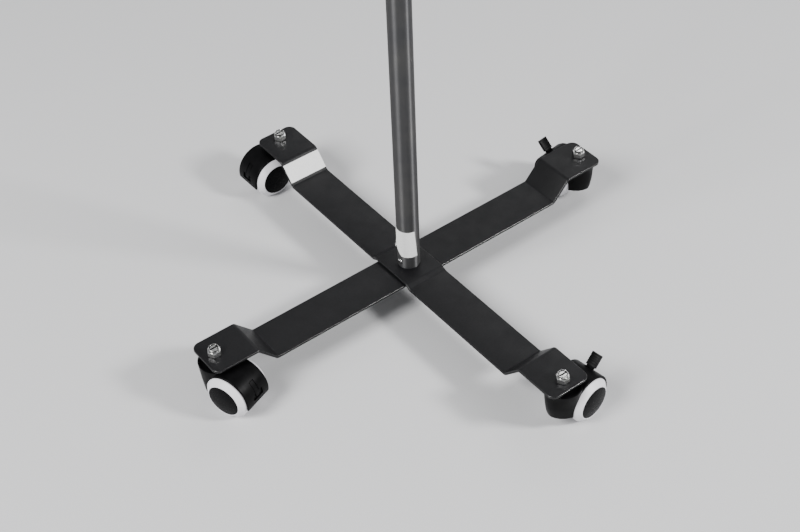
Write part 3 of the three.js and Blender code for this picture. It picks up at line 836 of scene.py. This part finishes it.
def pan_screw(radius, height, seat, tip, shank):
    """Small screw along +X with a domed cross-recessed head."""
    top = seat + height
    head = lathe(filleted([
        (0, seat), (radius, seat, 0.1), (radius, seat + 0.45 * height, 0.6),
        (0.55 * radius, seat + 0.92 * height, 0.8), (0, top),
    ]), SMALL)
    blade, blade_half, depth = 0.62 * radius, 0.32, 0.9
    cross = [
        box(-blade, blade, -blade_half, blade_half, top - depth, top + 1),
        box(-blade_half, blade_half, -blade, blade, top - depth, top + 1),
    ]
    return along_x(worked(head, added=[rod(shank, tip, seat + 0.4, sides=SMALL)], cut=cross))


# ---------------------------------------------------------------- foot of the upright
def foot_screw_holes(start):
    """Cutters for the foot's two screws, from a distance off the upright's axis outwards."""
    return [moved(moved(along_x(rod(FOOT_SCREW_HOLE, start, 20, sides=SMALL)), angle=angle), (0, 0, z))
            for angle, z in FOOT_SCREWS.values()]


def make_foot():
    """Lower tube, the plug and screws in its foot, and the bolt that holds it to the crossing."""
    foot = CROSSING_TOP + GAP
    blank = tube(LOWER_OUTER, LOWER_INNER, foot, LOWER_TOP, 0.35, FINE)
    detail("lower_tube", worked(blank, cut=foot_screw_holes(8)), "dark_chrome", CHROME)
    bolt_hole = rod(BOLT_RADIUS + GAP, foot - 5, PLUG_TOP - 7, sides=SMALL)
    blank = rod(LOWER_INNER - GAP, foot, PLUG_TOP, 0.8)
    detail("foot_plug", worked(blank, cut=[bolt_hole, *foot_screw_holes(7.2)]), "zinc", ZINC)
    for name, (angle, height) in FOOT_SCREWS.items():
        screw = pan_screw(radius=3, height=1.6, seat=LOWER_OUTER + GAP, tip=7.5, shank=1.5)
        detail(name, moved(moved(screw, angle=angle), (0, 0, height)), "zinc", ZINC)
    washer_top = ARM_TOP - BAR_THICK - GAP
    washer_low = washer_top - WASHER_THICK
    washer = tube(WASHER_RADIUS, BOLT_RADIUS + GAP, washer_low, washer_top, 0.25)
    detail("base_washer", washer, "zinc", ZINC)
    head = hex_head(NUT_HALF_FLATS, washer_low - GAP - BASE_BOLT_HEAD, washer_low - GAP)
    bolt = worked(head, added=[thread(BOLT_RADIUS, BOLT_PITCH, washer_low - 1, PLUG_TOP - 8)])
    detail("base_bolt", bolt, "zinc", ZINC)


def make_tube_label():
    """Paper wrapped round the foot of the upright, its lower left corner torn away."""
    inner = LOWER_OUTER + 0.04
    columns, rows = 72, 24
    outer_side, inner_side = [], []
    for i in range(columns + 1):
        angle = LABEL_FROM + (LABEL_TO - LABEL_FROM) * i / columns
        across = radians(angle - LABEL_FROM) * inner
        tear = max(0.0, 1 - across / TORN_WIDTH)
        wobble = ragged(across, 0.32) if tear > 0 else 0.05 * sin(across)
        low = max(LABEL_LOW + TORN_HEIGHT * tear + wobble, LABEL_LOW)
        for k in range(rows + 1):
            share = k / rows
            lift = 0.35 * tear * (1 - share) ** 6 + 0.10 * max(0, 1 - (columns - i) / 3)
            z = low + (LABEL_HIGH - low) * share
            lean = LABEL_LEAN * i / columns * (z - LABEL_LOW) / (LABEL_HIGH - LABEL_LOW)
            for side, radius in ((inner_side, inner + lift), (outer_side, inner + lift + LABEL_SKIN)):
                x, y = polar(radius, angle - lean)
                side.append((x, y, z))
    detail("tube_label", sheet_mesh(outer_side, inner_side, columns, rows), "paper", PAPER)


def make_arm_label():
    """Paper on the sloping face of the rear left arm, with slightly uneven cut edges."""
    length, half_width = ARM_LABEL_LENGTH, ARM_LABEL_HALF_WIDTH
    slope = atan2(PLATE_TOP - ARM_TOP, RISE_END - RISE_START)
    centre_x = RISE_START + (RISE_END - RISE_START) * ARM_LABEL_SHARE
    centre_z = ARM_TOP + (PLATE_TOP - ARM_TOP) * ARM_LABEL_SHARE
    face = BAR_THICK / 2 * (1 - cos(slope)) + 0.06
    columns, rows = 48, 30
    upper, under = [], []
    for i in range(columns + 1):
        across = -half_width + 2 * half_width * i / columns
        for k in range(rows + 1):
            along = (k / rows - 0.5) * (length - 0.5 + ragged(0.13 * across, 0.08))
            edge = max(abs(across) / half_width, abs(2 * along) / length)
            lift = 0.22 * max(0, edge - 0.86) / 0.14 * (0.5 + 0.5 * sin(0.21 * across + 0.4 * along))
            wave = 0.03 * (1 + sin(0.5 * along + 0.31 * across))
            wobble = ragged(0.2 * along, 0.05) if abs(across) == half_width else 0
            height = face + lift + wave
            under.append((along, across + wobble, height))
            upper.append((along, across + wobble, height + ARM_LABEL_SKIN))
    mesh = sheet_mesh(under, upper, columns, rows)
    moved(mesh, (centre_x, 0, centre_z), "Y", -degrees(slope))
    detail("arm_label", mesh, "paper", PAPER, turn_about_upright(UPPER_BAR_ANGLE))


# ---------------------------------------------------------------- casters
def on_axle(mesh):
    """Puts a mesh made about Z onto the axle's line; its upper side turns to +Y."""
    return moved(along_y(mesh), (TRAIL, 0, WHEEL_RADIUS))


def arc_block(inner, outer, start, end, half_width, steps=10):
    """Part of a ring about the axle, for cutting the recess in the back of a hood."""
    turns = [start + (end - start) * k / steps for k in range(steps + 1)]
    ring = [polar(outer, a) for a in turns] + [polar(inner, a) for a in reversed(turns)]
    return slab([(TRAIL + x, WHEEL_RADIUS + z) for x, z in ring], half_width)


def pedal_slot():
    """Opening in a braked hood that the pedal swings in."""
    corners = [(4.5, 200), (4.5, 290), (30, 8), (30, 62), (4.5, 130)]
    outline = [polar(from_pivot, angle) for from_pivot, angle in corners]
    return slab([(PEDAL_TRAIL + x, PEDAL_HEIGHT + z) for x, z in outline], WEB_HALF + 0.4)


def pedal_recess():
    """Inverted T for a pedal on a hood with no brake, round the blank tongue that fills its stem."""
    back, front = HOOD_RADIUS - RECESS_DEPTH, HOOD_RADIUS + 2
    recess = worked(arc_block(back, front, *RECESS_STEM), added=[arc_block(back, front, *RECESS_FOOT)])
    return worked(recess, cut=[arc_block(back - 1, HOOD_RADIUS - TONGUE_DEPTH, *TONGUE)])


def nose():
    """Front of the hood: plans that swell from a blunt keel between the wheels into a round collar.

    Each row holds a height, the plan's half length and half width, and its superellipse power.
    """
    rows = [
        (HOOD_FLOOR - 3, 17.2, 18.0, 1.6),
        (30, 19.6, 18.4, 1.7),
        (39, 19.8, 18.6, 1.85),
        (48, 19.3, 19.3, 2),
        (HOOD_RIM, 19.7, 19.7, 2),
    ]
    steps = 6
    rings = []
    for i in range(len(rows) - 1):
        near = [Vector(rows[min(max(k, 0), len(rows) - 1)]) for k in range(i - 1, i + 3)]
        last = i == len(rows) - 2
        for k in range(steps + last):
            height, reach, half, power = through(near, k / steps)
            plan = superellipse(power, FINE)
            rings.append([(COLLAR_OFFSET + reach * x, half * y, height) for x, y in plan])
    return loft(rings)


def superellipse(power, sides):
    """Outline between a diamond (power 1) and a circle (power 2), one unit in radius."""
    swell = 2 / power
    ring = [polar(1, 360 * (k + 0.5) / sides) for k in range(sides)]
    return [(copysign(abs(x) ** swell, x), copysign(abs(y) ** swell, y)) for x, y in ring]


def through(points, share):
    """Smooth curve through the two middle ones of four points."""
    a, b, c, d = points
    bend = 2 * a - 5 * b + 4 * c - d
    return b + 0.5 * share * ((c - a) + share * (bend + share * (3 * (b - c) + d - a)))


def hood(braked):
    """Moulded hood: a drum over both wheels that runs into a round collar and cup under the plate."""
    side = HOOD_HALF_WIDTH
    drum_edge = 1.2
    well_sides = 90
    drum = lathe(filleted([
        (0, -side), (HOOD_RADIUS, -side, drum_edge), (HOOD_RADIUS, side, drum_edge), (0, side),
    ]), FINE)
    wells = [on_axle(lathe([(0, low), (WHEEL_WELL, low), (WHEEL_WELL, high), (0, high)], well_sides))
             for low, high in ((WEB_HALF, 40), (-40, -WEB_HALF))]
    cut = [
        box(-60, 90, -50, 50, -10, HOOD_FLOOR),
        *wells,
        moved(rod(CUP_RADIUS, CUP_FLOOR, HOOD_RIM + 5, sides=FINE), (COLLAR_OFFSET, 0, 0)),
        rod(STEM_FOOT_RADIUS + GAP, STEM_FOOT - GAP, HOOD_RIM, sides=SMALL),
        on_axle(rod(AXLE_RADIUS + GAP, -30, 30, sides=SMALL)),
        pedal_slot() if braked else pedal_recess(),
    ]
    return worked(on_axle(drum), added=[nose()], cut=cut, edge=0.35)


def wheel():
    """Wheel with its hub and white cone, made about Z with its outer side up."""
    bore = AXLE_RADIUS + GAP
    lip, seat = CAP_RADIUS + 0.9, CAP_RADIUS + 0.25
    return lathe(filleted([
        (bore, WHEEL_INNER, 0.2),
        (WHEEL_RADIUS, WHEEL_INNER, 1.6),
        (WHEEL_RADIUS, TREAD_OUTER, 0.35),
        (lip, CONE_OUTER, 0.5),
        (seat, CONE_OUTER, 0.2),
        (seat, CAP_SEAT, 0),
        (bore, CAP_SEAT, 0.2),
    ], closed=True), FINE, closed=True)


def hub_cap():
    """Domed cap, made about Z with its crown up."""
    dome = []
    steps = 14
    drop = 0.2                 # how far the cap's edge lies below the cone's
    roundness = 2.2
    for k in range(steps + 1):
        out = 1 - k / steps
        rise = (CAP_CROWN - CONE_OUTER + drop) * (1 - out ** roundness)
        dome.append((CAP_RADIUS * out, CONE_OUTER - drop + rise))
    rim = filleted([(0, CAP_SEAT + GAP), (CAP_RADIUS, CAP_SEAT + GAP, 0.3), dome[0], dome[1]], 0.5)
    return lathe([*rim, *dome[2:]], FINE)


def pedal():
    """Brake lever: a pivot barrel, an arm between the wheels and a wide ribbed foot tab."""
    half = PEDAL_THICK / 2
    barrel = along_y(rod(3, -PEDAL_ARM_HALF, PEDAL_ARM_HALF, 0.3, SMALL))
    arm = box(0, PEDAL_ROOT + 1, -PEDAL_ARM_HALF, PEDAL_ARM_HALF, -half, half)
    tab = box(PEDAL_ROOT, PEDAL_LENGTH, -PEDAL_HALF_WIDTH, PEDAL_HALF_WIDTH, -half, half)
    groove_count, groove_pitch, groove_half, groove_depth = 5, 2.4, 0.45, 0.6
    first_groove = PEDAL_LENGTH - 1.9
    grooves = []
    for k in range(groove_count):
        x = first_groove - groove_pitch * k
        grooves.append(box(x - groove_half, x + groove_half, -9, 9, half - groove_depth, half + 2))
    lever = [moved(part, axis="Y", angle=-PEDAL_ANGLE) for part in (arm, tab, *grooves)]
    shape = worked(barrel, added=lever[:2], cut=lever[2:], edge=0.3)
    return moved(shape, (PEDAL_TRAIL, 0, PEDAL_HEIGHT))


def make_casters():
    """Four casters; each one's trail points from its stem to its axle in the CAD frame."""
    shapes = {
        "stem": caster_stem(),
        "lock_nut": lock_nut(),
        "nut_insert": nylon_ring(),
        "axle": on_axle(rod(AXLE_RADIUS, -AXLE_HALF_LENGTH, AXLE_HALF_LENGTH, 0.5, SMALL)),
        "wheel": wheel(),
        "cap": hub_cap(),
        "pedal": pedal(),
        "braked_hood": hood(True),
        "free_hood": hood(False),
    }
    hub = Matrix.Translation((TRAIL * MM, 0, WHEEL_RADIUS * MM))
    for caster in ("front_left", "front_right", "rear_left", "rear_right"):
        stem = middle(f"{caster}_stem")
        axle = middle(f"{caster}_axle")
        trail = atan2(axle.y - stem.y, axle.x - stem.x)
        fixed = Matrix.Translation((stem.x, stem.y, 0)) @ turn_about_upright(LOWER_BAR_ANGLE)
        place = Matrix.Translation((stem.x, stem.y, 0)) @ Matrix.Rotation(trail, 4, "Z")
        braked = f"{caster}_pedal" in frame["nodes"]
        detail(f"{caster}_stem", shapes["stem"], "zinc", ZINC, fixed)
        detail(f"{caster}_lock_nut", shapes["lock_nut"], "zinc", ZINC, fixed)
        piece(f"{caster}_nut_insert", shapes["nut_insert"], f"{caster}_lock_nut", "cap_plastic", NYLON,
              fixed, stands_for=False)
        hood_shape = shapes["braked_hood" if braked else "free_hood"]
        detail(f"{caster}_hood", hood_shape, "hood_plastic", HOOD, place)
        detail(f"{caster}_axle", shapes["axle"], "zinc", ZINC, place)
        for side, angle in (("a", -90), ("b", 90)):
            spin = place @ hub @ Matrix.Rotation(radians(angle), 4, "X")
            detail(f"{caster}_wheel_{side}", shapes["wheel"], "wheel_white", WHITE, spin)
            detail(f"{caster}_cap_{side}", shapes["cap"], "cap_plastic", CAP, spin)
        if braked:
            detail(f"{caster}_pedal", shapes["pedal"], "hood_plastic", HOOD, place)


# ---------------------------------------------------------------- upright and crossbar
def screw_boss(outer, height):
    """Boss along +X on a sleeve, for a knob's screw."""
    return moved(along_x(rod(BOSS_RADIUS, BOSS_START, outer + BOSS_REACH, sides=SMALL)), (0, 0, height))


def screw_bore(end, height):
    """Cutter along +X for a knob's screw."""
    return moved(along_x(rod(KNOB_SCREW + GAP, BOSS_START, end, sides=SMALL)), (0, 0, height))


def clamp_collar(low, step, high, wide_outer, wide_bore, narrow_outer, narrow_bore):
    """Sleeve about Z that steps from a wide bore to a narrow one, with a screw boss on +X."""
    boss_height = (step + high) / 2
    sleeve = lathe(filleted([
        (0, low), (wide_outer, low, 1.0), (wide_outer, step - 2, 2),
        (narrow_outer, step + 2, 2), (narrow_outer, high, 1.6), (0, high),
    ]))
    return worked(sleeve, added=[screw_boss(narrow_outer, boss_height)], cut=[
        rod(wide_bore, low - 5, step + GAP),
        rod(narrow_bore, low - 5, high + 5),
        screw_bore(narrow_outer + 15, boss_height),
    ], edge=0.5)


def clamp_knob(tip, seat):
    """Five-lobed clamp knob with its screw along +X; the screw's tip is at the given radius."""
    low, high = seat + 3, seat + 3 + KNOB_THICK
    steps = 6
    layers = []
    for k in range(steps + 1):
        angle = pi / 2 * k / steps
        layers.append((KNOB_EDGE * (1 - sin(angle)), low + KNOB_EDGE * (1 - cos(angle))))
    layers += [(inset, low + high - z) for inset, z in reversed(layers)]
    dished = high - 0.9
    layers += [(4.5, high), (6.0, dished), (9.5, dished)]
    rings = []
    count = 120
    smallest = 1.0
    for inset, z in layers:
        ring = []
        for k in range(count):
            lobe = KNOB_RADIUS - KNOB_LOBE + KNOB_LOBE * cos(2 * KNOB_LOBES * pi * k / count)
            x, y = polar(max(lobe - inset, smallest), 360 * k / count)
            ring.append((x, y, z))
        rings.append(ring)
    grip = loft(rings)
    neck = lathe(filleted([
        (0, seat), (6, seat, 0.5), (6, seat + 2, 1), (8, seat + 4), (0, seat + 4),
    ]), SMALL)
    return along_x(worked(grip, added=[neck, thread(KNOB_SCREW, KNOB_PITCH, tip, seat + 1, 0.4)]))


def make_mast():
    """Lower collar with its knob, the sliding upper tube, the tee on top and the crossbar."""
    collar = clamp_collar(LOWER_TOP - MAST_COLLAR_DOWN, LOWER_TOP, LOWER_TOP + MAST_COLLAR_UP,
                          MAST_COLLAR_WIDE, LOWER_OUTER + GAP, MAST_COLLAR_NARROW, RUNNING_BORE)
    detail("mast_collar", collar, "knob_plastic", KNOB)
    knob_seat = MAST_COLLAR_NARROW + BOSS_REACH + GAP
    knob = moved(clamp_knob(RUNNING_BORE, knob_seat), (0, 0, LOWER_TOP + MAST_COLLAR_UP / 2))
    detail("mast_knob", knob, "knob_plastic", KNOB)
    upper = tube(UPPER_OUTER, UPPER_INNER, UPPER_BOTTOM, UPPER_TOP, 0.3, FINE)
    detail("upper_tube", upper, "dark_chrome", CHROME)
    knob_height = UPPER_TOP - 20
    tee_low = UPPER_TOP - TEE_DEPTH
    level = (0, 0, CROSSBAR_HEIGHT)
    screw_radius = CROSSBAR_SCREW + GAP
    tee = worked(rod(TEE_RADIUS, tee_low, CROSSBAR_HEIGHT), added=[
        moved(along_x(rod(TEE_RADIUS, -TEE_HALF_LENGTH, TEE_HALF_LENGTH)), level),
        screw_boss(TEE_RADIUS, knob_height),
    ], cut=[
        rod(RUNNING_BORE, tee_low - 5, UPPER_TOP + GAP),
        moved(along_x(rod(RUNNING_BORE, -60, 60)), level),
        screw_bore(40, knob_height),
        rod(screw_radius, CROSSBAR_HEIGHT + 5, CROSSBAR_HEIGHT + 30, sides=SMALL),
    ], edge=0.7, steps=3)
    detail("tee_head", tee, "knob_plastic", KNOB)
    knob = moved(clamp_knob(RUNNING_BORE, knob_seat), (0, 0, knob_height))
    detail("head_knob", knob, "knob_plastic", KNOB)
    rail = along_x(tube(CROSSBAR_OUTER, CROSSBAR_INNER, -CROSSBAR_HALF, CROSSBAR_HALF, 0.3, FINE))
    rail = worked(rail, cut=[rod(screw_radius, 5, 30, sides=SMALL)])
    detail("crossbar", rail, "dark_chrome", CHROME_LEVEL, origin=crossbar_level())
    screw = pan_screw(radius=4, height=2, seat=CROSSBAR_HEIGHT + TEE_RADIUS + GAP,
                      tip=CROSSBAR_HEIGHT + 8, shank=CROSSBAR_SCREW)
    detail("crossbar_screw", moved(screw, axis="Y", angle=-90), "zinc", ZINC)


def make_crossbar_end(side):
    """End collar, knob, extension and cap of one side, made on +X and turned round for the left."""
    turn = 180 if side == "left" else 0
    place = turn_about_upright(turn)
    level = crossbar_level()
    rearward = -90 if side == "left" else 90
    bore = EXTENSION_OUTER + GAP
    collar = clamp_collar(CROSSBAR_HALF - END_COLLAR_BACK, CROSSBAR_HALF, CROSSBAR_HALF + END_COLLAR_OUT,
                          END_COLLAR_WIDE, RUNNING_BORE, END_COLLAR_NARROW, bore)
    collar = along_x(moved(collar, angle=rearward))
    detail(f"end_collar_{side}", collar, "knob_plastic", KNOB, place, origin=level)
    knob_place = (CROSSBAR_HALF + END_COLLAR_OUT / 2, 0, 0)
    knob = moved(clamp_knob(bore, END_COLLAR_NARROW + BOSS_REACH + GAP), knob_place, angle=rearward)
    detail(f"end_knob_{side}", knob, "knob_plastic", KNOB, place, origin=level)
    rail = along_x(tube(EXTENSION_OUTER, EXTENSION_INNER, EXTENSION_START, EXTENSION_END, 0.3, FINE))
    detail(f"extension_{side}", rail, "dark_chrome", CHROME_LEVEL, place, origin=level)
    plug, plug_length = EXTENSION_INNER - GAP, 12
    crown = EXTENSION_OUTER + 1
    cap = along_x(lathe(filleted([
        (0, EXTENSION_END - plug_length), (plug, EXTENSION_END - plug_length, 0.6),
        (plug, EXTENSION_END + GAP, 0), (crown, EXTENSION_END + GAP, 0.3),
        (crown, EXTENSION_END + 4.4, 2.0), (0, EXTENSION_END + 5),
    ])))
    detail(f"end_cap_{side}", cap, "knob_plastic", KNOB, place, origin=level)


# ---------------------------------------------------------------- stage, lights and camera
def make_floor():
    corners = [(-1, -1), (1, -1), (1, 1), (-1, 1)]
    mesh = mesh_of([(FLOOR_HALF * x, FLOOR_HALF * y, 0) for x, y in corners], [(0, 1, 2, 3)])
    floor = bpy.data.objects.new("floor", mesh)
    bpy.context.scene.collection.objects.link(floor)
    look = Look("pale_floor", Specular_IOR_Level=0.2)
    look.colour(look.mottled(900, 4, (0.3, (0.56, 0.56, 0.565)), (0.7, (0.62, 0.62, 0.625))))
    look.shader.inputs["Roughness"].default_value = 0.85
    mesh.materials.append(look.material)
    floor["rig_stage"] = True


def area_light(name, position, target, size, power):
    data = bpy.data.lights.new(name, "AREA")
    data.shape = "RECTANGLE"
    data.size, data.size_y = size
    data.energy = power
    light = bpy.data.objects.new(name, data)
    bpy.context.scene.collection.objects.link(light)
    light.location = position
    light.rotation_euler = (Vector(target) - Vector(position)).to_track_quat("-Z", "Y").to_euler()


def make_lights():
    for name, settings in LIGHTS.items():
        area_light(name, *settings)
    world = bpy.data.worlds.new("studio")
    bpy.context.scene.world = world
    world.use_nodes = True
    background = world.node_tree.nodes["Background"]
    background.inputs["Color"].default_value = SKY
    background.inputs["Strength"].default_value = SKY_STRENGTH


def make_camera():
    """The photo's camera, as fitted to the base and the upright."""
    yaw, pitch, roll = CAMERA_YAW, CAMERA_PITCH, CAMERA_ROLL
    ahead = Vector((cos(pitch) * cos(yaw), cos(pitch) * sin(yaw), -sin(pitch)))
    right = Vector((sin(yaw), -cos(yaw), 0))
    up = right.cross(ahead)
    rolled_right = cos(roll) * right + sin(roll) * up
    rolled_up = cos(roll) * up - sin(roll) * right
    data = bpy.data.cameras.new("camera")
    data.sensor_width = CAMERA_SENSOR
    data.lens = CAMERA_LENS
    camera = bpy.data.objects.new("camera", data)
    bpy.context.scene.collection.objects.link(camera)
    place = Matrix((rolled_right, rolled_up, -ahead)).transposed().to_4x4()
    place.translation = CAMERA_PLACE
    camera.matrix_world = place
    bpy.context.scene.camera = camera


make_camera()
make_bars()
make_foot()
make_tube_label()
make_arm_label()
make_casters()
make_mast()
for side in ("left", "right"):
    make_crossbar_end(side)
make_floor()
make_lights()

boxes = {"cad": cad_box, "visual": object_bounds()}
({name: [[round(value, 5) for value in corner] for corner in corners]
           for name, corners in boxes.items()})
